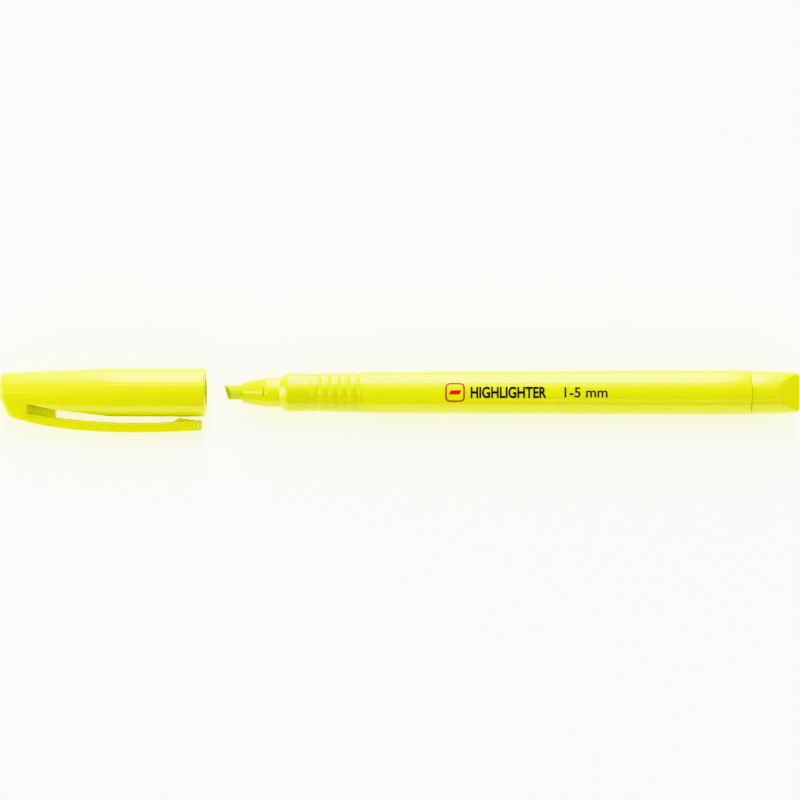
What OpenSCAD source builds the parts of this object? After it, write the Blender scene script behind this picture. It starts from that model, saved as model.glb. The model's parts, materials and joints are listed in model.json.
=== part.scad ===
// Slim pen-shaped highlighter, lying with its cap pulled off and laid in line with the nib.
// The pen's axis runs along X, with the cap towards -X and the end plug towards +X.
// The floor is z = 0, and the origin is at the middle of the footprint.

/* [Cap] */
// Length of the cap from its closed end to its mouth
cap_len = 45.2; // [43:0.1:48]
// Outer radius of the cap at its mouth
cap_r = 5.35; // [5.3:0.01:5.6]
// Outer radius where the domed closed end begins
cap_end_r = 4.35; // [4.2:0.01:4.6]
// How far the closed end bulges out
cap_dome = 1; // [0.6:0.1:1.6]
// Distance from the closed end to where the outer taper stops
cap_taper_len = 24.6; // [24:0.1:28]
// Radius of the bore that slides over the grip
cap_bore_r = 4.46; // [4.45:0.01:4.55]
// Gap between the cap's mouth and the nib while the cap is off
cap_gap = 4.1; // [2:0.1:20]

/* [Clip] */
// Furthest distance of the clip's outer face from the cap's axis
clip_reach = 8.78; // [8.5:0.01:9.2]
// Width of the clip
clip_w = 4.2; // [3.6:0.1:4.4]
// Width of the web that joins the clip to the cap
web_w = 2.8; // [2:0.1:3]
// Distance from the closed end to the start of the slot under the clip
slot_start = 12.3; // [12:0.1:12.6]
// Distance from the closed end to the tip of the clip
clip_len = 44.5; // [44:0.1:44.8]
// Clearance between the clip's bead and the cap
bead_gap = 0.2; // [0.15:0.01:0.4]

/* [Nib and nose] */
// Radius of the fibre nib
nib_r = 1.6; // [1.5:0.01:1.7]
// How far the nib stands out of its holder
nib_out = 3.6; // [3:0.1:4.2]
// Thickness of the chisel's blunt edge
nib_edge = 0.7; // [0.4:0.1:1]
// Angle of the chisel's edge from square
nib_slant = 15.5; // [10:0.5:20]
// Length of the holder's nose in front of the shoulder
nose_len = 8.6; // [8:0.1:9]
// Radius of the nose where the cap's seal closes on it
nose_r = 3.25; // [3.2:0.01:3.27]
// Radius of the rim round the nib
rim_r = 2.35; // [2.2:0.01:2.5]

/* [Grip] */
// Length of the cone between the nose and the grip
shoulder_len = 1.65; // [1.4:0.05:2]
// Length of the ribbed grip
grip_len = 16.8; // [16.5:0.1:17.1]
// Radius of the lip at the front of the grip
lip_r = 4.27; // [4.2:0.01:4.3]
// Radius of the grip's waist
waist_r = 4.06; // [4:0.01:4.1]
// Radius at the back of the grip
grip_r = 4.33; // [4.25:0.01:4.35]
// Number of rounded rings
rings = 6; // [4:1:6]
// Height of each ring
ring_h = 0.08; // [0.04:0.01:0.1]

/* [Barrel and plug] */
// Length of the barrel between the grip and the plug
barrel_len = 84.9; // [82:0.1:90]
// Radius at the front of the barrel
barrel_front_r = 4.55; // [4.5:0.01:4.6]
// Radius at the back of the barrel
barrel_r = 4.94; // [4.9:0.01:5.05]
// Length of the true cylinder at the back of the barrel
barrel_cyl = 12.6; // [10:0.1:16]
// Length of the end plug that shows
plug_len = 10.6; // [10:0.1:12]
// Radius of the end plug beside the barrel
plug_r = 4.77; // [4.7:0.01:4.85]
// Radius of the end plug before its rounded edge
plug_end_r = 4.5; // [4.4:0.01:4.6]
// Distance from the front of the plug to where its two flats begin
flat_from = 5.6; // [5.2:0.1:6]
// Angle of the flats to the pen's axis
flat_angle = 30; // [20:1:32]

/* [Hidden] */
$fn = 72;

// Where each piece begins along the pen
seam = 0.2;
pen_len = nib_out + nose_len + shoulder_len + grip_len + barrel_len + seam + plug_len;
overall = cap_len + cap_gap + pen_len;
x_cap = -overall / 2;
x_tip = x_cap + cap_len + cap_gap;
x_nose = x_tip + nib_out;
x_shoulder = x_nose + nose_len;
x_grip = x_shoulder + shoulder_len;
x_barrel = x_grip + grip_len;
x_plug = x_barrel + barrel_len + seam;

// The roll at which the cap and an edge of the clip both touch the floor
half_w = clip_w / 2;
roll = asin(cap_r / norm([clip_reach, half_w])) - atan(half_w / clip_reach);
axis_y = (clip_reach * cos(roll) + half_w * sin(roll) - cap_r) / 2;

// Inside of the cap
flat_depth = 2.5;          // the flat under the clip, from the axis at its closed end
flat_start = 6;
flat_slot_depth = 3.83;    // the same flat at the start of the slot
seat_x = 25;               // the step that the inner cap rests on
seat_r = 4.1;
core_start = 3.5;
core_r = 1.6;
core_slot_r = 3.05;
mouth_round = 0.3;

// Inner cap, measured from the cap's closed end
inner_front = 13.2;
inner_wall = 0.6;
inner_nib_r = 2.1;
inner_step_x = 17.6;
inner_step_r = 2.6;
inner_seal_x = 23;
inner_seal_r = nose_r + 0.08;
inner_end = 26.4;
inner_flange_r = cap_bore_r - 0.03;

// Clip
hinge_x = 13.3;
hinge_z = -6.78;
knuckle_r = 1.12;
seat_clearance = 0.05;
bead_x = 39.4;
bead_front = 37.8;
bead_back = 43.4;
bead_w = 2.4;
tip_round = 0.6;

// Inner works
reservoir_r = 3.0;
film = 0.1;
works_clearance = 0.05;
sleeve_r = reservoir_r + film;
channel_r = sleeve_r + works_clearance;
barrel_bore_r = 3.7;
rib_w = 0.5;
rib_count = 6;
shank_len = 6;
spigot_len = 8;
nib_dip = 5;               // how far the nib runs into the reservoir
nib_bore_clearance = 0.02;
x_shank_end = x_shoulder + shank_len;
plug_spigot_len = 7;
plug_spigot_r = barrel_bore_r - 0.02;
plug_hollow_r = 2.9;
x_reservoir_end = x_plug - plug_spigot_len - 1;

// A point on a cubic Bezier curve, and the curve as a list of points
function bezier_at(p, t) =
    pow(1 - t, 3) * p[0] + 3 * t * pow(1 - t, 2) * p[1] + 3 * t * t * (1 - t) * p[2] + t * t * t * p[3];
function bezier(p, steps) = [for (i = [0:steps]) bezier_at(p, i / steps)];

// Solid turned about the pen's axis from points [radius, distance along X]
module turned(outline) {
    rotate([0, 90, 0])
        rotate_extrude()
            polygon(outline);
}

// Slab of width w, centred on the plane of the clip, from points [X, Z]
module slab(outline, w) {
    translate([0, w / 2, 0])
        rotate([90, 0, 0])
            linear_extrude(w)
                polygon(outline);
}

// Moves a piece from the pen's own frame, clip straight down, to how the pen lies
module lying(x) {
    translate([x, axis_y, cap_r])
        rotate([roll - 90, 0, 0])
            children();
}

// Rounded quarter from radius r - c at x to radius r at x + dir * c
function edge_round(r, x, c, dir, steps) =
    [for (i = [0:steps]) [r - c + c * sin(90 * i / steps), x + dir * c * (1 - cos(90 * i / steps))]];
function backwards(points) = [for (i = [len(points) - 1:-1:0]) points[i]];

// ---- cap, from its closed end at x = 0 to its mouth at x = cap_len ----
dome_steps = 8;
cap_dome_line = [for (i = [0:dome_steps])
    [cap_end_r * sin(84 * i / dome_steps), cap_dome * (1 - cos(84 * i / dome_steps))]];
cap_outer = concat(
    cap_dome_line,
    [[cap_r, cap_taper_len]],
    backwards(edge_round(cap_r, cap_len, mouth_round, -1, 4)));
cap_inner = [
    [cap_bore_r + 0.15, cap_len],
    [cap_bore_r, cap_len - 0.3],
    [cap_bore_r, seat_x],
    [seat_r, seat_x],
    [core_slot_r, slot_start + 0.4],
    [core_r, core_start],
    [0, core_start]];

// The clip's outer and inner lines, [X, distance below the axis]
outer_front = bezier([[2.5, 5.5], [11, 8], [18, clip_reach], [30, clip_reach]], 12);
outer_back = bezier([[30, clip_reach], [36, clip_reach], [40, 8.65], [clip_len - tip_round, 8.34]], 6);
inner_front_line = bezier([[slot_start, 5.5], [18, 6.2], [24, 6.66], [31, 6.66]], 8);
inner_back_line = bezier([[31, 6.66], [35, 6.66], [40, 6.3], [clip_len - tip_round, 6.05]], 6);
function below(points) = [for (p = points) [p[0], -p[1]]];
function ahead_of(points, x) = [for (p = points) if (p[0] < x) p];
function past(points, x) = [for (p = points) if (p[0] > x) p];

// Solid head that carries the clip's root down from the dome
module cap_head() {
    head_nose = [[0.3, 0], [0.35, 1.8], [1, 3.16], [1.65, 4.6]];
    root_end = hinge_x - 0.7;
    slab(below(concat(
        head_nose,
        ahead_of(outer_front, root_end),
        [[root_end, 7.85], [root_end, 0]])), clip_w);
}

// Pocket beside the web, below the flat on the underside of the cap
module pocket() {
    slab(below([
        [flat_start, flat_depth],
        [slot_start, flat_slot_depth],
        [cap_taper_len + 0.4, cap_r + 0.02],
        [cap_taper_len + 0.4, 5.9],
        [slot_start, 5.5],
        [flat_start, 4.35]]), 4 * cap_r);
}

// Cuts the closed end so that it leans back towards the clip
module end_lean() {
    slab(below([[-1, 0.3], [0.12, 0.3], [0.3, 1.6], [1, 3.2], [1.65, 4.3], [2.6, 5.5], [2.6, 6], [-1, 6]]),
         4 * cap_r);
}

module cap_shell() {
    color("#e2e312")
        lying(x_cap)
            difference() {
                union() {
                    turned(concat(cap_outer, [[0, cap_len]]));
                    cap_head();
                }
                turned(concat([[0, cap_len + 1], [cap_bore_r + 0.15, cap_len + 1]], cap_inner));
                difference() {
                    pocket();
                    translate([0, -web_w / 2, -2 * cap_r])
                        cube([slot_start, web_w, 2 * cap_r]);
                }
                translate([hinge_x, 0, hinge_z])
                    rotate([90, 0, 0])
                        cylinder(r = knuckle_r + seat_clearance, h = 2 * clip_w, center = true);
                end_lean();
            }
}

module clip() {
    arm_start = hinge_x;
    bead_top = -(cap_r + bead_gap);
    arm = concat(
        [[arm_start, hinge_z - knuckle_r]],
        below(past(outer_front, arm_start + 0.3)),
        below(past(outer_back, 30)),
        [[clip_len, -8.34 + tip_round], [clip_len, -6.05 - tip_round]],
        below(backwards(past(inner_back_line, 31))),
        below(backwards(past(inner_front_line, arm_start + 0.3))),
        [[arm_start, hinge_z + knuckle_r]]);
    color("#dfe012")
        lying(x_cap)
            union() {
                translate([hinge_x, 0, hinge_z])
                    rotate([90, 0, 0])
                        cylinder(r = knuckle_r, h = clip_w, center = true);
                intersection() {
                    slab(arm, clip_w);
                    // The tip's corners, rounded in plan
                    union() {
                        translate([0, -clip_w / 2, -20])
                            cube([clip_len - clip_w / 3, clip_w, 40]);
                        for (side = [-1, 1])
                            translate([clip_len - clip_w / 3, side * clip_w / 6, 0])
                                cylinder(r = clip_w / 3, h = 40, center = true);
                    }
                }
                slab([[bead_front, -6.6], [bead_x, bead_top], [bead_back, -6.02], [bead_back, -6.9],
                      [bead_front, -7]], bead_w);
            }
}

// Liner that closes on the nose and keeps the nib from drying
module inner_cap() {
    color("#f2f2c8")
        lying(x_cap)
            turned([
                [0, inner_front],
                [inner_nib_r + inner_wall, inner_front],
                [inner_nib_r + inner_wall, inner_step_x - 0.2],
                [inner_step_r + inner_wall, inner_step_x],
                [inner_seal_r + inner_wall, inner_seal_x],
                [inner_seal_r + inner_wall, seat_x],
                [inner_flange_r, seat_x],
                [inner_flange_r, inner_end],
                [inner_seal_r + 0.15, inner_end],
                [inner_seal_r, inner_end - 0.3],
                [inner_seal_r, inner_seal_x],
                [inner_step_r, inner_step_x],
                [inner_nib_r, inner_step_x - 0.2],
                [inner_nib_r, inner_front + inner_wall],
                [0, inner_front + inner_wall]]);
}

// ---- pen ----

// Fibre rod with a slanted chisel point
module nib() {
    nib_len = x_shank_end + nib_dip - x_tip;
    wedge_len = 1;
    wedge_half = 1.6;
    overlap = 0.4;         // the wedge starts this far ahead, so that the slant meets the tip
    color("#c8dc1e")
        lying(x_tip)
            intersection() {
                rotate([0, 90, 0])
                    cylinder(r = nib_r, h = nib_len);
                translate([overlap, 0, 0])
                    rotate([0, -nib_slant, 0])
                        linear_extrude(3 * nib_len, center = true)
                            polygon([[0, -nib_edge / 2], [wedge_len, -wedge_half], [wedge_len + 2, -3],
                                     [2 * nib_len, -3], [2 * nib_len, 3], [wedge_len + 2, 3],
                                     [wedge_len, wedge_half], [0, nib_edge / 2]]);
            }
}

// Nose that grips the nib, with a vent slot on each side
module nib_holder() {
    rim_len = 0.9;
    curve_len = 5;
    curve_steps = 8;
    slot_x = 4.9;
    slot_len = 0.8;
    slot_w = 2.9;
    slot_floor = 2.72;
    nose_line = [for (i = [0:curve_steps])
        [nose_r - (nose_r - rim_r) * pow(1 - i / curve_steps, 1.2), rim_len + curve_len * i / curve_steps]];
    color("#dcdd14")
        lying(x_nose)
            difference() {
                turned(concat(
                    [[nib_r + nib_bore_clearance, 0], [rim_r - 0.6, 0], [rim_r - 0.02, 0.65]],
                    nose_line,
                    [[nose_r, nose_len - 0.02], [sleeve_r, nose_len - 0.02],
                     [sleeve_r, nose_len + shank_len], [nib_r + nib_bore_clearance, nose_len + shank_len]]));
                // Upright in front, with a ramp behind
                for (side = [-1, 1])
                    translate([slot_x, 0, -slot_w / 2])
                        linear_extrude(slot_w)
                            polygon([[0, side * slot_floor], [slot_len, side * nose_r],
                                     [slot_len, side * (nose_r + 1)], [0, side * (nose_r + 1)]]);
            }
}

// Radius of the grip's smooth surface at a share t of its length
lip_share = 0.1;
waist_share = 0.36;
function smooth(t) = t * t * (3 - 2 * t);
function grip_base(t) =
    t < lip_share ? lip_r
    : t < waist_share ? lip_r + (waist_r - lip_r) * smooth((t - lip_share) / (waist_share - lip_share))
    : waist_r + (grip_r - waist_r) * pow((t - waist_share) / (1 - waist_share), 0.8);
ring_pitch = 2.11;
ring_steps = 6;
first_ring = grip_len - (rings - 0.3) * ring_pitch;
function ring_lift(x) = ring_h * abs(sin(180 * (x - first_ring) / ring_pitch));

// Ribbed front section, pushed into the barrel
module grip_section() {
    smooth_steps = 8;
    smooth_part = [for (i = [0:smooth_steps])
        [grip_base(i / smooth_steps * first_ring / grip_len), first_ring * i / smooth_steps]];
    ring_points = ceil((grip_len - first_ring) / ring_pitch * ring_steps) - 1;
    ringed_part = [for (i = [1:ring_points])
        let (x = first_ring + i * ring_pitch / ring_steps)
        if (x < grip_len) [grip_base(x / grip_len) + ring_lift(x), x]];
    color("#d8da14")
        lying(x_grip)
            turned(concat(
                [[channel_r, -shoulder_len], [nose_r, -shoulder_len]],
                [[lip_r - 0.12, -0.15]],
                smooth_part,
                ringed_part,
                [[grip_base(1), grip_len], [barrel_bore_r - 0.02, grip_len],
                 [barrel_bore_r - 0.02, grip_len + spigot_len], [channel_r, grip_len + spigot_len]]));
}

// Long tube with ribs inside that centre the reservoir
module barrel() {
    edge = 0.35;
    color("#e4e50e")
        lying(x_barrel)
            union() {
                turned(concat(
                    [[barrel_bore_r, 0], [barrel_front_r - 0.08, 0], [barrel_front_r, 0.1],
                     [barrel_r, barrel_len - barrel_cyl]],
                    backwards(edge_round(barrel_r, barrel_len, edge, -1, 4)),
                    [[barrel_bore_r, barrel_len]]));
                for (i = [0:rib_count - 1])
                    rotate([360 * i / rib_count, 0, 0])
                        translate([spigot_len + 2, -rib_w / 2, channel_r])
                            cube([barrel_len - spigot_len - plug_spigot_len - 4, rib_w,
                                  barrel_bore_r + 0.2 - channel_r]);
            }
}

// Bonded fibre rod that holds the ink, bored for the nib
module reservoir() {
    color("#f0e832")
        lying(x_shank_end)
            turned([
                [nib_r + nib_bore_clearance, 0.1],
                [reservoir_r, 0.1],
                [reservoir_r, x_reservoir_end - x_shank_end],
                [0, x_reservoir_end - x_shank_end],
                [0, nib_dip + 0.1],
                [nib_r + nib_bore_clearance, nib_dip + 0.1]]);
}

// Thin film round the reservoir
module reservoir_sleeve() {
    color("#f6f4d0")
        lying(x_shank_end)
            turned([
                [reservoir_r, 0.1],
                [sleeve_r, 0.1],
                [sleeve_r, x_reservoir_end - x_shank_end],
                [reservoir_r, x_reservoir_end - x_shank_end]]);
}

// Push-in plug that closes the barrel, with a flat on each side of its tail
module end_plug() {
    round_r = 0.8;
    taper_start = 4.6;
    taper_end = 9.2;
    hollow_end = 5.8;
    flat_r = 4.66;
    wide = 6;
    tail_half = flat_r - (plug_len - flat_from) * tan(flat_angle);
    flat_wide_x = flat_from - (wide - flat_r) / tan(flat_angle);
    color("#dfe014")
        lying(x_plug)
            intersection() {
                turned(concat(
                    [[plug_hollow_r, -plug_spigot_len], [plug_spigot_r - 0.3, -plug_spigot_len],
                     [plug_spigot_r, -plug_spigot_len + 0.5], [plug_spigot_r, 0],
                     [plug_r - 0.12, 0], [plug_r, 0.12], [plug_r - 0.06, taper_start],
                     [plug_end_r, taper_end]],
                    backwards(edge_round(plug_end_r - 0.02, plug_len, round_r, -1, 5)),
                    [[0, plug_len], [0, hollow_end], [plug_hollow_r - 0.6, hollow_end],
                     [plug_hollow_r, hollow_end - 1]]));
                linear_extrude(4 * wide, center = true)
                    polygon([[-2 * wide, -wide], [flat_wide_x, -wide], [plug_len + 0.01, -tail_half],
                             [plug_len + 0.01, tail_half], [flat_wide_x, wide], [-2 * wide, wide]]);
            }
}

cap_shell();
clip();
inner_cap();
nib();
nib_holder();
grip_section();
barrel();
reservoir();
reservoir_sleeve();
end_plug();
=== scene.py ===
import json
import math

import bmesh
import bpy
from mathutils import Matrix, Vector


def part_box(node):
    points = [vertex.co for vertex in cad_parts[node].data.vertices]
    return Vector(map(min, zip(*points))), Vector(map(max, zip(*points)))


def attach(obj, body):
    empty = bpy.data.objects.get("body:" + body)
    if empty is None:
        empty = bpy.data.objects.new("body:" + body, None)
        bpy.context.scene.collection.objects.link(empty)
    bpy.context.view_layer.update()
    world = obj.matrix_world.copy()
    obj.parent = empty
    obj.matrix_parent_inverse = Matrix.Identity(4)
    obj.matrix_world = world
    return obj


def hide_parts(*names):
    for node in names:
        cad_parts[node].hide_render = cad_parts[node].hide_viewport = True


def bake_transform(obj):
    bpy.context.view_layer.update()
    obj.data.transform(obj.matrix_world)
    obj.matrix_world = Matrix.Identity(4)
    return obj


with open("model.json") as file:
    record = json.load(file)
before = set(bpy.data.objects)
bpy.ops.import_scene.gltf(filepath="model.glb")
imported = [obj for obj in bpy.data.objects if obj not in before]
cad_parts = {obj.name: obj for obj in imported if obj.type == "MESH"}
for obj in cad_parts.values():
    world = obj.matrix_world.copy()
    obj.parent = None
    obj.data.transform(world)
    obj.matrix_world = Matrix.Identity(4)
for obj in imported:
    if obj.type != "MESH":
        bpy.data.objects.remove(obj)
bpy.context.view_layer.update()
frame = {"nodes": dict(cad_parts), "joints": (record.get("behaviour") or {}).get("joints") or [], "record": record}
print("frame loaded")

# Shapes are made in millimetres with X along the pen, Z away from the clip and -Y the side that faces up
# when it lies.
mounts = {mount["name"]: mount for mount in frame["record"]["mounts"]}
joints = {joint["name"]: joint for joint in frame["joints"]}
axisPoint = Vector(mounts["plug_end"]["pos_m"])
sideways = Vector(joints["clip_flex"]["axis"])
penTurn = Matrix.Rotation(math.atan2(sideways.z, sideways.y), 4, "X")
penToRow = Matrix.Translation((0, axisPoint.y, axisPoint.z)) @ penTurn @ Matrix.Scale(0.001, 4)


def along(node):
    # where a CAD node begins and ends along the pen, in millimetres
    low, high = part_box(node)
    return low.x * 1000, high.x * 1000


def radiusOf(node):
    low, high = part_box(node)
    return (high.z - low.z) * 500


capStart, capMouth = along("cap_shell")
nibTip, nibEnd = along("nib")
noseStart, noseEnd = along("nib_holder")
shoulderStart = along("grip_section")[0]
barrelStart, barrelEnd = along("barrel")
plugEnd = along("end_plug")[1]
capRadius = axisPoint.z * 1000
barrelRadius = radiusOf("barrel")


# Small tools that every piece uses
def roundedLine(corners, steps=5):
    # corners are (x, radius, how far the rounding reaches along each side)
    points = []
    for i, (x, r, reach) in enumerate(corners):
        here = Vector((x, r))
        if reach == 0 or i in (0, len(corners) - 1):
            points.append(here)
            continue
        back = Vector(corners[i - 1][:2]) - here
        ahead = Vector(corners[i + 1][:2]) - here
        first = here + back.normalized() * min(reach, back.length * 0.48)
        last = here + ahead.normalized() * min(reach, ahead.length * 0.48)
        for step in range(steps + 1):
            t = step / steps
            points.append(first * (1 - t) ** 2 + here * (2 * t * (1 - t)) + last * t ** 2)
    return [(p.x, p.y) for p in points]


def bezier(p0, p1, p2, p3, steps):
    corners = [Vector(p) for p in (p0, p1, p2, p3)]
    curve = []
    for step in range(steps + 1):
        t = step / steps
        shares = ((1 - t) ** 3, 3 * t * (1 - t) ** 2, 3 * t * t * (1 - t), t ** 3)
        curve.append(sum((c * s for c, s in zip(corners, shares)), Vector((0, 0))))
    return [(p.x, p.y) for p in curve]


def smoothStep(t):
    return t * t * (3 - 2 * t)


def turned(line, closed=False, segments=160):
    # a line of (x, radius) spun about the pen's axis
    bm = bmesh.new()
    verts = [bm.verts.new((x, 0, r)) for x, r in line]
    pairs = list(zip(verts, verts[1:]))
    if closed:
        pairs.append((verts[-1], verts[0]))
    for pair in pairs:
        bm.edges.new(pair)
    bmesh.ops.spin(bm, geom=bm.verts[:] + bm.edges[:], cent=(0, 0, 0), axis=(1, 0, 0), dvec=(0, 0, 0),
                   angle=2 * math.pi, steps=segments, use_merge=True, use_duplicate=False)
    bmesh.ops.remove_doubles(bm, verts=bm.verts, dist=0.0005)
    bmesh.ops.recalc_face_normals(bm, faces=bm.faces)
    return bm


def slab(outline, low, high):
    # an outline of (x, z) with thickness from y = low to y = high
    bm = bmesh.new()
    face = bm.faces.new([bm.verts.new((x, low, z)) for x, z in outline])
    grown = bmesh.ops.extrude_face_region(bm, geom=[face])
    moved = [item for item in grown["geom"] if isinstance(item, bmesh.types.BMVert)]
    bmesh.ops.translate(bm, verts=moved, vec=(0, high - low, 0))
    bmesh.ops.recalc_face_normals(bm, faces=bm.faces)
    return bm


def roundEdges(bm, edges, reach, steps):
    bmesh.ops.bevel(bm, geom=edges, offset=reach, offset_type="OFFSET", segments=steps, profile=0.5,
                    affect="EDGES", clamp_overlap=True, material=-1)


def sharpEdges(bm, degrees, test):
    limit = math.radians(degrees)
    return [edge for edge in bm.edges
            if len(edge.link_faces) == 2 and edge.calc_face_angle(0) > limit and test(edge)]


def middle(edge):
    return (edge.verts[0].co + edge.verts[1].co) / 2


def asObject(name, bm):
    mesh = bpy.data.meshes.new(name)
    bm.to_mesh(mesh)
    bm.free()
    made = bpy.data.objects.new(name, mesh)
    bpy.context.scene.collection.objects.link(made)
    return made


def combine(bm, tool, operation):
    # joins or cuts two closed shapes and gives the result back
    base, other = asObject("base", bm), asObject("tool", tool)
    change = base.modifiers.new("change", "BOOLEAN")
    change.operation, change.solver, change.object = operation, "EXACT", other
    result = base.evaluated_get(bpy.context.evaluated_depsgraph_get())
    made = bmesh.new()
    made.from_mesh(result.to_mesh())
    result.to_mesh_clear()
    for spare in (base, other):
        bpy.data.objects.remove(spare)
    bmesh.ops.remove_doubles(made, verts=made.verts, dist=0.0005)
    return made


def finishPiece(name, bm, body, material, nodes=(), smoothBelow=32):
    # turns a shape into a placed piece that rides its body
    piece = asObject(name, bm)
    piece.data.transform(penToRow)
    for face in piece.data.polygons:
        face.use_smooth = True
    piece.data.set_sharp_from_angle(angle=math.radians(smoothBelow))
    piece.data.materials.append(material)
    if nodes:
        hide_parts(*nodes)
    if body:
        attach(piece, body)
    print("made", name, len(piece.data.polygons), "faces")
    return piece


def colour(text, alpha=1):
    # sRGB hex to linear
    parts = [int(text[i:i + 2], 16) / 255 for i in (1, 3, 5)]
    return [p / 12.92 if p <= 0.04045 else ((p + 0.055) / 1.055) ** 2.4 for p in parts] + [alpha]


def addNode(tree, kind, inputs=None, **settings):
    node = tree.nodes.new(kind)
    for name, value in settings.items():
        setattr(node, name, value)
    for name, value in (inputs or {}).items():
        if isinstance(value, bpy.types.NodeSocket):
            tree.links.new(value, node.inputs[name])
        else:
            node.inputs[name].default_value = value
    return node


def newMaterial(name):
    material = bpy.data.materials.new(name)
    material.use_nodes = True
    tree = material.node_tree
    return material, tree, tree.nodes["Principled BSDF"], addNode(tree, "ShaderNodeTexCoord").outputs["Object"]


def mouldedPlastic(name, look):
    # Injection-moulded polypropylene: an even, saturated colour under a clear skin. The melt's flow leaves faint
    # lengthwise bands in the gloss, and the mould's own polish shows as a very fine unevenness.
    material, tree, shader, place = newMaterial(name)
    cloud = addNode(tree, "ShaderNodeTexNoise", {"Vector": place, "Scale": 1 / look["cloudSize"], "Detail": 2.0})
    tint = addNode(tree, "ShaderNodeMix", {0: cloud.outputs["Fac"], 6: colour(look["colour"]),
                                           7: colour(look["deepColour"])}, data_type="RGBA")
    flowPlace = addNode(tree, "ShaderNodeMapping", {"Vector": place, "Scale": (0.08, 1, 1)})
    flow = addNode(tree, "ShaderNodeTexNoise", {"Vector": flowPlace.outputs["Vector"],
                                                "Scale": 1 / look["flowWidth"], "Detail": 3.0})
    gloss = addNode(tree, "ShaderNodeMapRange", {"Value": flow.outputs["Fac"], "To Min": look["roughness"] - 0.05,
                                                 "To Max": look["roughness"] + 0.05})
    skin = addNode(tree, "ShaderNodeTexNoise", {"Vector": place, "Scale": 1 / look["grainSize"], "Detail": 2.0})
    bump = addNode(tree, "ShaderNodeBump", {"Height": skin.outputs["Fac"], "Strength": look["grainDepth"],
                                            "Distance": 0.0001})
    tree.links.new(tint.outputs[2], shader.inputs["Base Color"])
    tree.links.new(gloss.outputs["Result"], shader.inputs["Roughness"])
    tree.links.new(bump.outputs["Normal"], shader.inputs["Normal"])
    shader.inputs["IOR"].default_value = 1.49
    shader.inputs["Specular IOR Level"].default_value = look["specular"]
    shader.inputs["Subsurface Weight"].default_value = look["glow"]
    shader.inputs["Subsurface Radius"].default_value = (1, 1, 0.2)
    shader.inputs["Subsurface Scale"].default_value = 0.0006
    return material


# Sizes are in metres. Grain this fine would not show, so it is drawn at about a quarter of a millimetre.
glossy = {"cloudSize": 0.012, "flowWidth": 0.0012, "grainSize": 0.0004, "grainDepth": 0.03, "specular": 0.58,
          "glow": 0.12, "roughness": 0.17}
barrelPlastic = mouldedPlastic("fluorescent polypropylene barrel",
                               glossy | {"colour": "#dbdc06", "deepColour": "#d6d704"})
capPlastic = mouldedPlastic("fluorescent polypropylene cap",
                            glossy | {"colour": "#dcdc08", "deepColour": "#d7d705"})
nosePlastic = mouldedPlastic("fluorescent polypropylene nose",
                             glossy | {"colour": "#dadb0a", "deepColour": "#d3d608"})
plugPlastic = mouldedPlastic("fluorescent polypropylene plug",
                             glossy | {"colour": "#d9da0a", "deepColour": "#d5d606"})
# The grip's mould is fine-blasted, so it is duller than the barrel
gripPlastic = mouldedPlastic("fluorescent polypropylene grip, blasted mould",
                             glossy | {"colour": "#d3d408", "deepColour": "#cdcf06", "roughness": 0.23,
                                       "grainDepth": 0.08})


def fibre(name, surface, deep, threadWidth, pull):
    # Bonded polyester fibre soaked with ink: matt, with fine threads along the rod
    material, tree, shader, place = newMaterial(name)
    pulled = addNode(tree, "ShaderNodeMapping", {"Vector": place, "Scale": pull})
    threads = addNode(tree, "ShaderNodeTexNoise", {"Vector": pulled.outputs["Vector"], "Scale": 1 / threadWidth,
                                                   "Detail": 4.0, "Roughness": 0.6})
    tint = addNode(tree, "ShaderNodeMix", {0: threads.outputs["Fac"], 6: colour(deep), 7: colour(surface)},
                   data_type="RGBA")
    bump = addNode(tree, "ShaderNodeBump", {"Height": threads.outputs["Fac"], "Strength": 0.5,
                                            "Distance": 0.00005})
    tree.links.new(tint.outputs[2], shader.inputs["Base Color"])
    tree.links.new(bump.outputs["Normal"], shader.inputs["Normal"])
    shader.inputs["Roughness"].default_value = 0.75
    shader.inputs["Specular IOR Level"].default_value = 0.25
    return material


nibFibre = fibre("inked nib fibre", "#e0ea48", "#cddb2a", 0.00022, (0.12, 1, 1))
reservoirFibre = fibre("inked reservoir fibre", "#efe52a", "#dccf16", 0.0003, (0.05, 1, 1))


def clearFilm():
    # Thin polypropylene film: clear with a soft shine
    material, tree, shader, place = newMaterial("clear polypropylene film")
    wrinkle = addNode(tree, "ShaderNodeTexNoise", {"Vector": place, "Scale": 900.0, "Detail": 2.0})
    bump = addNode(tree, "ShaderNodeBump", {"Height": wrinkle.outputs["Fac"], "Strength": 0.1,
                                            "Distance": 0.0001})
    tree.links.new(bump.outputs["Normal"], shader.inputs["Normal"])
    shader.inputs["Base Color"].default_value = colour("#f6f4d8")
    shader.inputs["Roughness"].default_value = 0.15
    shader.inputs["Alpha"].default_value = 0.5
    return material


def linerPlastic():
    # Natural polyethylene: milky and waxy, with the pen's colour showing faintly through it
    material, tree, shader, place = newMaterial("natural polyethylene liner")
    cloud = addNode(tree, "ShaderNodeTexNoise", {"Vector": place, "Scale": 300.0, "Detail": 2.0})
    tint = addNode(tree, "ShaderNodeMix", {0: cloud.outputs["Fac"], 6: colour("#eff0bc"), 7: colour("#e7e9a4")},
                   data_type="RGBA")
    tree.links.new(tint.outputs[2], shader.inputs["Base Color"])
    shader.inputs["Roughness"].default_value = 0.42
    shader.inputs["Subsurface Weight"].default_value = 0.3
    shader.inputs["Subsurface Scale"].default_value = 0.001
    return material


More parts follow.
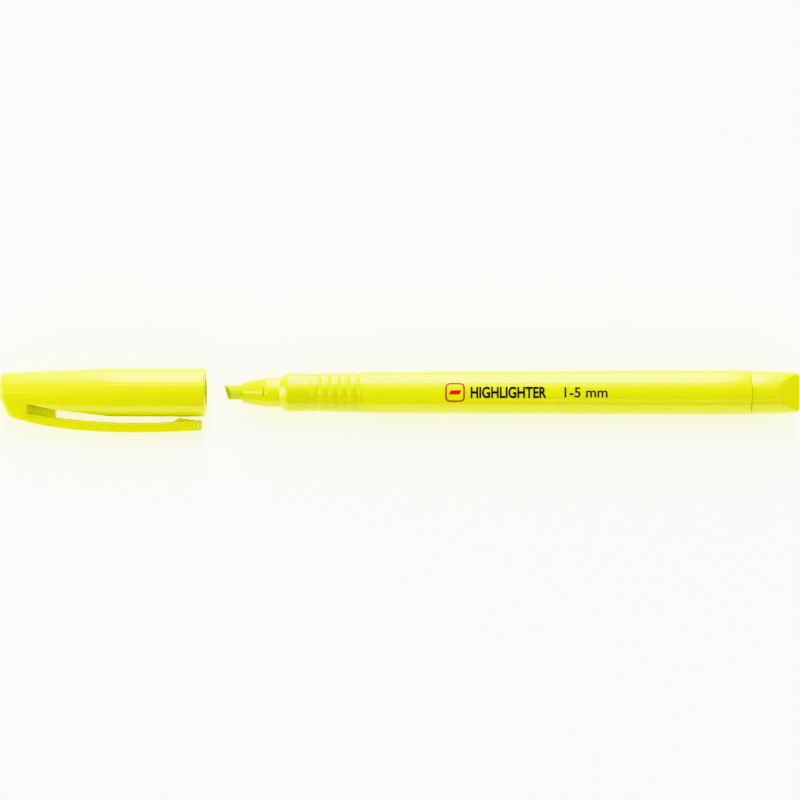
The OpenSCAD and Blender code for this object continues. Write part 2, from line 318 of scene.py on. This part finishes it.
def printInk(name, text):
    # Pad-printed ink: a thin matt coat with the screen's slight unevenness
    material, tree, shader, place = newMaterial(name)
    mottle = addNode(tree, "ShaderNodeTexNoise", {"Vector": place, "Scale": 2500.0, "Detail": 2.0})
    gloss = addNode(tree, "ShaderNodeMapRange", {"Value": mottle.outputs["Fac"], "To Min": 0.35, "To Max": 0.55})
    tree.links.new(gloss.outputs["Result"], shader.inputs["Roughness"])
    shader.inputs["Base Color"].default_value = colour(text)
    shader.inputs["Specular IOR Level"].default_value = 0.25
    return material


blackInk = printInk("black print ink", "#171009")
rustInk = printInk("rust red print ink", "#a23412")
redInk = printInk("bright red print ink", "#d3202c")
print("materials made")

# All lengths below are in millimetres
cap = {
    "endRadius": 4.35,      # outer radius at the closed end
    "dome": 0.3,            # how far the closed end bulges
    "endRound": 0.9,
    "lean": 0.15,           # how much the closed end leans back towards the clip
    "leanRun": 5.0,         # length over which that lean dies away
    "leanEnd": 2.6,         # where the clip's outer face begins
    "taperEnd": 24.6,       # from the closed end
    "mouthRound": 0.35,
    "boreRadius": 4.46,
    "seat": 25.0,           # step that the liner rests on
    "seatRadius": 4.1,
    "core": [(3.5, 0.0), (3.5, 1.6), (12.7, 3.05)],     # the hollow in front of the liner
    "flat": [(6.0, 2.5), (12.3, 3.83), (25.0, 5.37)],   # flat under the clip: (from the closed end, below the axis)
    "slotStart": 12.3,
    "webHalf": 1.4,
    "pocketStart": 6.0,
    "fade": 1.1,            # length over which the pocket beside the web runs out
    "skirtFull": 4.6,       # the tube is drawn down to the clip up to here
    "skirtEnd": 11.5,       # and is round again from here
    "loopPoints": 224,
}
clip = {
    "half": 2.1,            # half of its width
    "round": 0.5,           # of its long edges
    "rootStart": 3.6,
    "seam": 12.6,           # the arm is free from here
    "tip": 44.5,
    "tipRound": 0.5,        # seen from the side
    "tipPlanRound": 1.4,    # seen from above
    "bead": [(37.8, 6.5), (39.4, 5.55), (43.3, 6.1)],
    "beadHalf": 1.2,
}
# the clip's outer and inner faces as (from the closed end, below the axis)
outerLine = (bezier((2.5, 5.5), (11, 8), (18, 8.78), (30, 8.78), 40)
             + bezier((30, 8.78), (36, 8.78), (40, 8.65), (44.5, 8.32), 16)[1:])
innerLine = ([(2.0, 3.0), (6.0, 4.35), (9.2, 4.95)]
             + bezier((12.3, 5.5), (18, 6.2), (24, 6.66), (31, 6.66), 24)
             + bezier((31, 6.66), (35, 6.66), (40, 6.3), (44.5, 6.02), 16)[1:])


def depthAt(line, x):
    for (x0, z0), (x1, z1) in zip(line, line[1:]):
        if x <= x1:
            return z0 + (z1 - z0) * (x - x0) / (x1 - x0)
    return line[-1][1]


def fromClosedEnd(points):
    return [(capStart + x, -z) for x, z in points]


# the tube's outer line, without the clip
capLength = capMouth - capStart
tubeLine = roundedLine([(0, cap["endRadius"], 0), (cap["taperEnd"], capRadius, 3), (capLength, capRadius, 0)], 8)


def outerRadiusAt(x):
    return depthAt(tubeLine, x)


def skirtDepth(x):
    fade = smoothStep(min(1, max(0, (x - cap["skirtFull"]) / (cap["skirtEnd"] - cap["skirtFull"]))))
    depth = depthAt(outerLine, x) - 0.01
    return depth + (outerRadiusAt(x) * 0.9 - depth) * fade


def capSection(radius, depth, inset):
    # the cap's outline at one place as even points of (y, z): a circle with a skirt drawn down to the clip
    rounding = clip["round"] + 0.1
    cornerInset = min(inset, rounding - 0.04)
    across = clip["half"] - 0.01 - rounding - (inset - cornerInset) * 0.5
    down = depth - rounding - (inset - cornerInset) * 0.5
    discs = [(Vector((0, 0)), radius - inset), (Vector((across, -down)), rounding - cornerInset),
             (Vector((-across, -down)), rounding - cornerInset)]
    taut = []
    for step in range(720):
        way = Vector((math.sin(math.tau * step / 720), math.cos(math.tau * step / 720)))
        taut.append(max((centre + way * size for centre, size in discs), key=lambda point: point.dot(way)))
    return evenLoop(taut, cap["loopPoints"])


def evenLoop(points, count):
    # the same closed line with its points evenly spaced
    ends = points[1:] + points[:1]
    total = sum((b - a).length for a, b in zip(points, ends))
    loop, walked = [], 0
    for a, b in zip(points, ends):
        length = (b - a).length
        while len(loop) < count and len(loop) * total / count <= walked + length and length > 0:
            loop.append(a + (b - a) * ((len(loop) * total / count - walked) / length))
        walked += length
    return loop


def leanAt(z):
    return cap["lean"] * max(0, -z - 0.3) ** 1.5


def addLoop(bm, points):
    ring = [bm.verts.new(point) for point in points]
    return [bm.edges.new(pair) for pair in zip(ring, ring[1:] + ring[:1])]


def joinLoops(bm, loops):
    # closed loops joined one after another and closed at both ends
    for first, second in zip(loops, loops[1:]):
        bmesh.ops.bridge_loops(bm, edges=first + second)
    bmesh.ops.holes_fill(bm, edges=[edge for edge in bm.edges if len(edge.link_faces) == 1], sides=0)
    bmesh.ops.recalc_face_normals(bm, faces=bm.faces)
    return bm


def capOutside():
    # sections from the closed end to the mouth; the first ones lean back towards the clip
    dome, endRound, mouthRound = cap["dome"], cap["endRound"], cap["mouthRound"]
    places = [(dome + endRound * (1 - math.cos(math.radians(a))), endRound * (1 - math.sin(math.radians(a))))
              for a in range(0, 90, 10)]
    places += [(dome + endRound + i * 0.3, 0) for i in range(38)]
    places += [(x, 0) for x in (15, 18, 21, 22.5, 24, 25.5, 27, capLength - mouthRound)]
    places += [(capLength - mouthRound * (1 - math.sin(math.radians(a))),
                mouthRound * (1 - math.cos(math.radians(a)))) for a in (18, 36, 54, 72, 90)]
    bm = bmesh.new()
    loops = []
    for x, inset in places:
        stay = 1 - smoothStep(min(1, (x - dome) / cap["leanRun"]))
        # the clip's edge leans back too, and how far depends on its own depth there
        clipX = x
        for settling in range(3):
            clipX = x + stay * leanAt(-skirtDepth(max(clipX, cap["leanEnd"])))
        section = capSection(outerRadiusAt(x), skirtDepth(max(clipX, cap["leanEnd"])), inset)
        if not loops:
            for share in (0.1, 0.35, 0.6, 0.8, 0.92):
                inner = [point * share for point in section]
                loops.append(addLoop(bm, [(capStart + dome * share ** 2 + leanAt(p.y), p.x, p.y) for p in inner]))
        loops.append(addLoop(bm, [(capStart + x + stay * leanAt(p.y), p.x, p.y) for p in section]))
    return joinLoops(bm, loops)


def capHollow():
    bore = cap["boreRadius"]
    line = cap["core"] + [(cap["seat"], cap["seatRadius"]), (cap["seat"], bore), (capLength - 0.25, bore),
                          (capLength - 0.07, bore + 0.07), (capLength + 0.2, bore + 0.4),
                          (capLength + 1, bore + 0.4), (capLength + 1, 0)]
    return turned([(capStart + x, r) for x, r in line])


def clipSection(x):
    # one cross-section of the clip as a loop of (y, z), smaller towards the rounded tip
    half, outer, inner = clip["half"], depthAt(outerLine, x), depthAt(innerLine, x)
    rounding = clip["round"]
    toTip = x - (clip["tip"] - clip["tipRound"])
    if toTip > 0:
        shrink = clip["tipRound"] - math.sqrt(max(0, clip["tipRound"] ** 2 - toTip ** 2))
        outer, inner, rounding = outer - shrink, inner + shrink, rounding + shrink * 0.5
    toTip = x - (clip["tip"] - clip["tipPlanRound"])
    if toTip > 0:
        half += math.sqrt(max(0, clip["tipPlanRound"] ** 2 - toTip ** 2)) - clip["tipPlanRound"]
    corners = [(half, -inner), (half, -outer), (-half, -outer), (-half, -inner)]
    loop = []
    for i, (y, z) in enumerate(corners):
        into, out = Vector(corners[i - 1]) - Vector((y, z)), Vector(corners[(i + 1) % 4]) - Vector((y, z))
        first, last = Vector((y, z)) + into.normalized() * rounding, Vector((y, z)) + out.normalized() * rounding
        centre = first + out.normalized() * rounding
        for step in range(7):
            angle = math.pi / 2 * step / 6
            loop.append(centre + (first - centre) * math.cos(angle) + (last - centre) * math.sin(angle))
    return loop


def clipBar(start, end):
    # the clip between two places as sections joined one after another
    places = [start + (end - start) * i / 60 for i in range(61)]
    if end > clip["tip"] - 0.1:
        round0 = clip["tip"] - clip["tipPlanRound"]
        places = [x for x in places if x < round0] + [
            round0 + clip["tipPlanRound"] * math.sin(math.radians(88 * i / 16)) for i in range(17)]
    bm = bmesh.new()
    return joinLoops(bm, [addLoop(bm, [(capStart + x, y, z) for y, z in clipSection(x)]) for x in places])


def sideAt(x, depth):
    # how far the cap's side stands out at a depth below the axis
    section = capSection(outerRadiusAt(x), skirtDepth(x), 0)
    return max((point.x for point in section if abs(point.y + depth) < 0.09), default=clip["half"])


def pocketCutter(side):
    # the hollow beside the web, which runs out gently towards the closed end
    start, fade, half, far = cap["pocketStart"], cap["fade"], cap["webHalf"], 8.0
    past = cap["slotStart"] + 0.6
    below = [(x, depthAt(innerLine, x) + 0.3) for x in (past, cap["slotStart"], 9.2, start)]
    outline = [cap["flat"][0], cap["flat"][1], (past, 3.91)] + below
    low, high = (half, far) if side > 0 else (-far, -half)
    bm = slab(fromClosedEnd(outline), low, high)
    for i in range(1, 10):
        bmesh.ops.bisect_plane(bm, geom=bm.verts[:] + bm.edges[:] + bm.faces[:], plane_no=(1, 0, 0),
                               plane_co=(capStart + start + fade * i / 9, 0, 0))
    for i in range(1, 8):
        bmesh.ops.bisect_plane(bm, geom=bm.verts[:] + bm.edges[:] + bm.faces[:], plane_no=(0, 0, 1),
                               plane_co=(0, 0, -2.5 - 0.3 * i))
    for vert in bm.verts:
        x = vert.co.x - capStart
        share = (x - start) / fade
        if abs(vert.co.y) < half + 0.01 and share < 1:
            outside = sideAt(x, -vert.co.z) + 0.02
            vert.co.y = side * (half + (outside - half) * (1 - max(0, share)))
    return bm


def web():
    # the wall that joins tube and clip in front of the slot
    start, end = 4.0, cap["slotStart"]
    below = [(x, depthAt(innerLine, x) + 0.3) for x in (end, 9.2, start)]
    return slab(fromClosedEnd([(start, 2.9), (end, 3.45)] + below), -cap["webHalf"], cap["webHalf"])


def slotCutter():
    # clears everything below the tube from the start of the slot, so that the clip can be set in
    outline = [cap["flat"][1], cap["flat"][2], (cap["flat"][2][0], 12), (cap["slotStart"], 12)]
    return slab(fromClosedEnd(outline), -8, 8)


def makeCap():
    body = combine(capOutside(), capHollow(), "DIFFERENCE")
    for cutter in (slotCutter(), pocketCutter(1), pocketCutter(-1)):
        body = combine(body, cutter, "DIFFERENCE")
    for part in (web(), clipBar(clip["rootStart"], clip["seam"])):
        body = combine(body, part, "UNION")
    finishPiece("capShell", body, "cap", capPlastic, ["cap_shell"])


def makeClip():
    arm = clipBar(clip["seam"], clip["tip"])
    bead = slab(fromClosedEnd(clip["bead"] + [(43.3, 7), (37.8, 7)]), -clip["beadHalf"], clip["beadHalf"])
    roundEdges(bead, sharpEdges(bead, 20, lambda edge: True), 0.12, 3)
    arm = combine(arm, bead, "UNION")
    piece = finishPiece("clipArm", arm, None, capPlastic, ["clip"])
    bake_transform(piece)


makeCap()
makeClip()

grip = {
    "shoulder": 1.65, "length": 16.8, "lip": 4.27, "waist": 4.06, "back": 4.33,
    "rings": 6, "pitch": 2.11, "ringHeight": 0.13,
}


def gripRadius(x):
    # x from the back of the shoulder
    share = x / grip["length"]
    lipShare, waistShare = 0.1, 0.36
    if share < lipShare:
        return grip["lip"]
    if share < waistShare:
        return grip["lip"] + (grip["waist"] - grip["lip"]) * smoothStep((share - lipShare) / (waistShare - lipShare))
    rise = ((share - waistShare) / (1 - waistShare)) ** 0.8
    return grip["waist"] + (grip["back"] - grip["waist"]) * rise


def makeGrip():
    start = shoulderStart + grip["shoulder"]
    firstRing = grip["length"] - (grip["rings"] - 0.3) * grip["pitch"]
    line = roundedLine([(-grip["shoulder"], 2.9, 0), (-grip["shoulder"], 3.27, 0.05), (-0.1, grip["lip"], 0.35),
                        (0.6, grip["lip"], 0)])
    steps = 150
    for i in range(1, steps + 1):
        x = 0.6 + (grip["length"] - 0.6) * i / steps
        lift = grip["ringHeight"] * abs(math.sin(math.pi * (x - firstRing) / grip["pitch"])) if x > firstRing else 0
        line.append((x, gripRadius(x) + lift))
    line += [(grip["length"], 3.2), (0, 3.16)]
    bm = turned([(start + x, r) for x, r in line], closed=True)
    finishPiece("gripSection", bm, "pen", gripPlastic, ["grip_section"])


barrel = {"front": 4.55, "cylinder": 12.6, "bore": 3.7}


def barrelRadiusAt(x):
    share = min(1, (x - barrelStart) / (barrelEnd - barrel["cylinder"] - barrelStart))
    return barrel["front"] + (barrelRadius - barrel["front"]) * share


def makeBarrel():
    line = roundedLine([
        (barrelStart, barrel["bore"], 0), (barrelStart, barrel["front"], 0.12),
        (barrelEnd - barrel["cylinder"], barrelRadius, 4), (barrelEnd, barrelRadius, 0.3),
        (barrelEnd, barrel["bore"], 0)])
    finishPiece("barrelTube", turned(line, closed=True), "pen", barrelPlastic, ["barrel"])


plug = {"radius": 4.77, "mid": 4.71, "tail": 4.48, "flatFrom": 5.76, "flatAngle": 30, "flatRadius": 4.66,
        "spigot": 3.68, "spigotLength": 7.0}


def makePlug():
    front = barrelEnd + 0.04
    length = plugEnd - front
    line = roundedLine([
        (-plug["spigotLength"], 0, 0), (-plug["spigotLength"], plug["spigot"], 0.3), (0, plug["spigot"], 0),
        (0, plug["radius"], 0.1), (4.6, plug["mid"], 2), (length, plug["tail"], 0.9), (length, 0, 0)])
    bm = turned([(front + x, r) for x, r in line])
    slope = math.radians(plug["flatAngle"])
    for side in (1, -1):
        at = (front + plug["flatFrom"], side * plug["flatRadius"], 0)
        facing = (math.sin(slope), side * math.cos(slope), 0)
        bmesh.ops.bisect_plane(bm, geom=bm.verts[:] + bm.edges[:] + bm.faces[:], plane_co=at, plane_no=facing,
                               clear_outer=True)
        bmesh.ops.holes_fill(bm, edges=[edge for edge in bm.edges if len(edge.link_faces) == 1], sides=0)
    rims = sharpEdges(bm, 12, lambda edge: middle(edge).x > front + 5
                      and max(len(face.verts) for face in edge.link_faces) > 8)
    roundEdges(bm, rims, 0.12, 3)
    bmesh.ops.recalc_face_normals(bm, faces=bm.faces)
    finishPiece("endPlug", bm, "pen", plugPlastic, ["end_plug"])


makeGrip()
makeBarrel()
makePlug()

nose = {"radius": 3.25, "rim": 2.35, "rimLength": 0.9, "curve": 5.0, "shank": 3.1,
        "slotAt": 4.9, "slotLength": 0.8, "slotWidth": 2.9, "slotFloor": 2.72}
nib = {"radius": 1.6, "edge": 0.7, "slant": 15.5, "wedge": 1.0, "wedgeHalf": 1.6, "lead": 0.4}


def makeNose():
    flank = [(nose["rimLength"] + nose["curve"] * t, nose["radius"] - (nose["radius"] - nose["rim"]) * (1 - t) ** 1.2)
             for t in (i / 16 for i in range(17))]
    noseLength = shoulderStart - noseStart
    line = roundedLine([(0, nib["radius"] + 0.04, 0), (0, nose["rim"] - 0.6, 0.1), (0.65, nose["rim"] - 0.02, 0.25),
                        (nose["rimLength"], nose["rim"], 0)], 5)
    line += flank[1:]
    line += [(noseLength, nose["radius"]), (noseLength, nose["shank"]), (noseEnd - noseStart, nose["shank"]),
             (noseEnd - noseStart, nib["radius"] + 0.04)]
    bm = turned([(noseStart + x, r) for x, r in line], closed=True)
    for side in (1, -1):
        # a notch with an upright front wall and a ramp behind it
        front, back = noseStart + nose["slotAt"], noseStart + nose["slotAt"] + nose["slotLength"]
        notch = [(front, nose["slotFloor"]), (back, nose["radius"] - 0.02), (back + 0.4, nose["radius"] + 0.3),
                 (back, 5), (front, 5)]
        tool = slab(notch, -nose["slotWidth"] / 2, nose["slotWidth"] / 2)
        bmesh.ops.rotate(tool, verts=tool.verts, cent=(0, 0, 0), matrix=Matrix.Rotation(side * math.pi / 2, 3, "X"))
        bm = combine(bm, tool, "DIFFERENCE")
    finishPiece("noseHolder", bm, "pen", nosePlastic, ["nib_holder"])


def makeNib():
    line = [(nibTip - 1, 0), (nibTip - 1, nib["radius"]), (nibEnd, nib["radius"]), (nibEnd, 0)]
    bm = turned(line, segments=96)
    wedge = [(0, -nib["edge"] / 2), (nib["wedge"], -nib["wedgeHalf"]), (nib["wedge"] + 2, -3), (60, -3),
             (60, 3), (nib["wedge"] + 2, 3), (nib["wedge"], nib["wedgeHalf"]), (0, nib["edge"] / 2)]
    tool = slab([(x, y) for x, y in wedge], -40, 40)
    # the slab is made upright, so it is laid over and then slanted
    bmesh.ops.rotate(tool, verts=tool.verts, cent=(0, 0, 0), matrix=Matrix.Rotation(math.radians(90), 3, "X"))
    bmesh.ops.rotate(tool, verts=tool.verts, cent=(0, 0, 0),
                     matrix=Matrix.Rotation(math.radians(-nib["slant"]), 3, "Y"))
    bmesh.ops.translate(tool, verts=tool.verts, vec=(nibTip + nib["lead"], 0, 0))
    bm = combine(bm, tool, "INTERSECT")
    rims = sharpEdges(bm, 15, lambda edge: middle(edge).x < nibTip + 3)
    roundEdges(bm, rims, 0.07, 2)
    finishPiece("nibRod", bm, "pen", nibFibre, ["nib"])


makeNose()
makeNib()


# Plain words and a plain mark stand for what is printed on the barrel
printing = {
    "mark": 20.0, "word": 31.7, "size": 48.6,       # centres, from the front of the barrel
    "coat": 0.012,                                      # thickness of the ink
    "frameShape": (4.3, 0.36),                          # size and line
    "strokeShape": ((2.3, 0.95), 0.5),                  # size and slant
    "wordShape": ("HIGHLIGHTER", 2.6, 16.6, 0.032),     # text, height, width and added weight
    "sizeShape": ("1-5 mm", 2.3, 9.4, 0.014),
}


def asCoat(bm):
    # gives a flat shape the thickness of the ink, with its back just under the barrel's skin
    bmesh.ops.solidify(bm, geom=bm.faces[:], thickness=printing["coat"] * 3)
    tops = [vert.co.z for vert in bm.verts]
    bmesh.ops.translate(bm, verts=bm.verts, vec=(0, 0, printing["coat"] - max(tops)))
    bmesh.ops.recalc_face_normals(bm, faces=bm.faces)
    return bm


def wrapOnBarrel(name, bm, centreX, ink):
    # lays a thin flat coat round the barrel's upper side
    sliceStep = 0.2
    heights = [vert.co.y for vert in bm.verts]
    cutAt = min(heights) + sliceStep
    while cutAt < max(heights):
        bmesh.ops.bisect_plane(bm, geom=bm.verts[:] + bm.edges[:] + bm.faces[:], plane_co=(0, cutAt, 0),
                               plane_no=(0, 1, 0))
        cutAt += sliceStep
    for vert in bm.verts:
        x = barrelStart + centreX + vert.co.x
        radius = barrelRadiusAt(x)
        angle = vert.co.y / radius
        lifted = radius + vert.co.z
        vert.co = (x, -lifted * math.cos(angle), lifted * math.sin(angle))
    finishPiece(name, bm, "pen", ink)


def letters(text, height, width, weight):
    # plain lettering fitted to a height and a width
    curve = bpy.data.curves.new("word", "FONT")
    curve.body, curve.offset, curve.resolution_u = text, weight, 6
    word = bpy.data.objects.new("word", curve)
    bpy.context.scene.collection.objects.link(word)
    shape = word.evaluated_get(bpy.context.evaluated_depsgraph_get())
    bm = bmesh.new()
    bm.from_mesh(shape.to_mesh())
    shape.to_mesh_clear()
    bpy.data.objects.remove(word)
    bmesh.ops.remove_doubles(bm, verts=bm.verts, dist=0.00001)
    xs, ys = [v.co.x for v in bm.verts], [v.co.y for v in bm.verts]
    size = (max(xs) - min(xs), max(ys) - min(ys))
    bmesh.ops.translate(bm, verts=bm.verts, vec=(-(max(xs) + min(xs)) / 2, -(max(ys) + min(ys)) / 2, 0))
    bmesh.ops.scale(bm, verts=bm.verts, vec=(width / size[0], height / size[1], 1))
    bmesh.ops.dissolve_limit(bm, verts=bm.verts, edges=bm.edges, angle_limit=0.01)
    return asCoat(bm)


def strokeMark(size, slant):
    # a slanted bar, like one stroke of a chisel nib
    bm = bmesh.new()
    bmesh.ops.create_grid(bm, x_segments=1, y_segments=1, size=0.5)
    bmesh.ops.scale(bm, verts=bm.verts, vec=(size[0], size[1], 1))
    for vert in bm.verts:
        vert.co.x += vert.co.y * slant
    return asCoat(bm)


def frameMark(size, line):
    # a rounded square outline
    bm = bmesh.new()
    bmesh.ops.create_grid(bm, x_segments=1, y_segments=1, size=size / 2)
    bmesh.ops.bevel(bm, geom=bm.verts[:], offset=size * 0.26, segments=8, profile=0.5, affect="VERTICES",
                    material=-1)
    bmesh.ops.inset_region(bm, faces=bm.faces[:], thickness=line, use_boundary=True, use_even_offset=True)
    centre = max(bm.faces, key=lambda face: face.calc_area())
    bmesh.ops.delete(bm, geom=[centre], context="FACES")
    return asCoat(bm)


wrapOnBarrel("printFrame", frameMark(*printing["frameShape"]), printing["mark"], rustInk)
wrapOnBarrel("printStroke", strokeMark(*printing["strokeShape"]), printing["mark"], redInk)
wrapOnBarrel("printWord", letters(*printing["wordShape"]), printing["word"], blackInk)
wrapOnBarrel("printWidth", letters(*printing["sizeShape"]), printing["size"], blackInk)

# The inner pieces keep their CAD shape
innerLooks = {"inner_cap": linerPlastic(), "reservoir": reservoirFibre, "reservoir_sleeve": clearFilm()}
for node, material in innerLooks.items():
    mesh = frame["nodes"][node].data
    mesh.materials.clear()
    mesh.materials.append(material)
print("CAD pieces finished")

# The view, the room and its lights
viewDir = penTurn.to_3x3() @ Vector((0, -1, 0))     # from the pen to the camera
upDir = penTurn.to_3x3() @ Vector((0, 0, 1))
camera = {"distance": 0.66, "lens": 135.0, "right": 0.0001, "below": 0.00165}
roomLight = 0.1
tableGlow = 0.98
# each panel's place, what it faces, its size in metres and its power in watts
panels = {
    "farPanel": ((0, 2.252, 1.3), (0, 0, 0.005), (1.0, 3.0), 112.0),
    "farEdge": ((0, 0.803, 2.472), (0, 0, 0.005), (1.0, 1.1), 9.8),
    "leftPanel": ((-0.6, -0.02, 0.16), (0, 0, 0.01), (0.42, 0.3), 3.9),
    "highPanel": ((-0.33, -0.2, 0.52), (0, 0, 0.01), (0.2, 0.2), 0.85),
    "rightPanel": ((0.50, -0.22, 0.46), (0, 0, 0.01), (0.3, 0.3), 2.1),
    "lowPanel": ((0.16, -0.544, 0.254), (0, 0, 0.01), (0.34, 0.2), 0.3),
}


def makeCamera():
    data = bpy.data.cameras.new("camera")
    data.lens, data.sensor_width = camera["lens"], 36.0
    made = bpy.data.objects.new("camera", data)
    bpy.context.scene.collection.objects.link(made)
    target = Vector((camera["right"], axisPoint.y, axisPoint.z)) - upDir * camera["below"]
    right = Vector((1, 0, 0))
    turn = Matrix((right, upDir, viewDir)).transposed().to_4x4()
    made.matrix_world = Matrix.Translation(target + viewDir * camera["distance"]) @ turn
    bpy.context.scene.camera = made


def makePanel(name, place, aim, size, power):
    data = bpy.data.lights.new(name, "AREA")
    data.shape, data.size, data.size_y, data.energy = "RECTANGLE", size[0], size[1], power
    made = bpy.data.objects.new(name, data)
    bpy.context.scene.collection.objects.link(made)
    made.location = place
    made.rotation_mode = "QUATERNION"
    made.rotation_quaternion = (Vector(aim) - Vector(place)).to_track_quat("-Z", "Y")
    made.visible_camera = False


def makeFloor():
    bm = bmesh.new()
    bmesh.ops.create_grid(bm, x_segments=1, y_segments=1, size=3)
    floor = asObject("floor", bm)
    material, tree, shader, place = newMaterial("white laminate table")
    cloud = addNode(tree, "ShaderNodeTexNoise", {"Vector": place, "Scale": 12.0, "Detail": 3.0})
    tint = addNode(tree, "ShaderNodeMix", {0: cloud.outputs["Fac"], 6: colour("#e6e6e5"), 7: colour("#e3e3e1")},
                   data_type="RGBA")
    tree.links.new(tint.outputs[2], shader.inputs["Base Color"])
    tree.links.new(tint.outputs[2], shader.inputs["Emission Color"])
    shader.inputs["Emission Strength"].default_value = tableGlow
    shader.inputs["Roughness"].default_value = 0.6
    floor.data.materials.append(material)


makeCamera()
for name, look in panels.items():
    makePanel(name, *look)
makeFloor()
world = bpy.data.worlds.new("room")
world.use_nodes = True
world.node_tree.nodes["Background"].inputs["Color"].default_value = (1, 1, 1, 1)
world.node_tree.nodes["Background"].inputs["Strength"].default_value = roomLight
bpy.context.scene.world = world
bpy.context.scene.view_settings.view_transform = "Khronos PBR Neutral"
print("camera, light and floor made")
